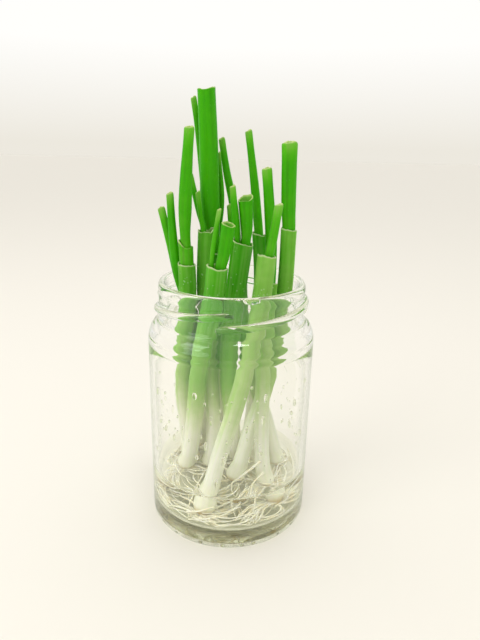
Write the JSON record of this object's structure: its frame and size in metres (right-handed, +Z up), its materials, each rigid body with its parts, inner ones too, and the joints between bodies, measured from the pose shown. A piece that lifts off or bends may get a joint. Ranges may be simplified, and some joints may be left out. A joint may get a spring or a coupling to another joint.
{
  "type": "spring onion bunch",
  "caption": "Bunch of spring onions with cut hollow leaves, white bulbs and roots, standing in a screw-neck glass jar with a little water.",
  "frame": {"origin": "on the surface that the jar stands on, under the middle of the jar", "axes": "+Z up, -Y towards the viewer of the picture, +X to that viewer's right"},
  "size_m": [0.068, 0.068, 0.1743],
  "materials": {
    "clear_glass": "clear, smooth pressed glass",
    "water": "clear, still water",
    "shank": "smooth, moist, white at the root turning green towards the cut",
    "leaf": "smooth, waxy, faintly ribbed along its length"
  },
  "bodies": {
    "root": {"glass_jar": "clear_glass", "water": "water", "left_shank": "shank", "left_inner_sheath": "leaf", "left_leaf_1": "leaf", "far_left_shank": "shank", "far_left_leaf_1": "leaf", "far_left_leaf_2": "leaf", "far_left_leaf_3": "leaf", "front_left_shank": "shank", "front_left_leaf_1": "leaf", "front_left_leaf_2": "leaf", "centre_shank": "shank", "centre_leaf_1": "leaf", "centre_leaf_2": "leaf", "left_centre_shank": "shank", "left_centre_leaf_1": "leaf", "left_centre_leaf_2": "leaf", "rear_left_shank": "shank", "rear_left_leaf_1": "leaf", "rear_left_leaf_2": "leaf", "rear_left_leaf_3": "leaf", "rear_centre_shank": "shank", "rear_centre_leaf_1": "leaf", "rear_centre_leaf_2": "leaf", "rear_right_shank": "shank", "rear_right_leaf_1": "leaf", "right_shank": "shank", "right_leaf_1": "leaf", "mid_right_shank": "shank", "mid_right_leaf_1": "leaf", "front_right_shank": "shank", "front_right_leaf_1": "leaf"}
  },
  "joints": []
}
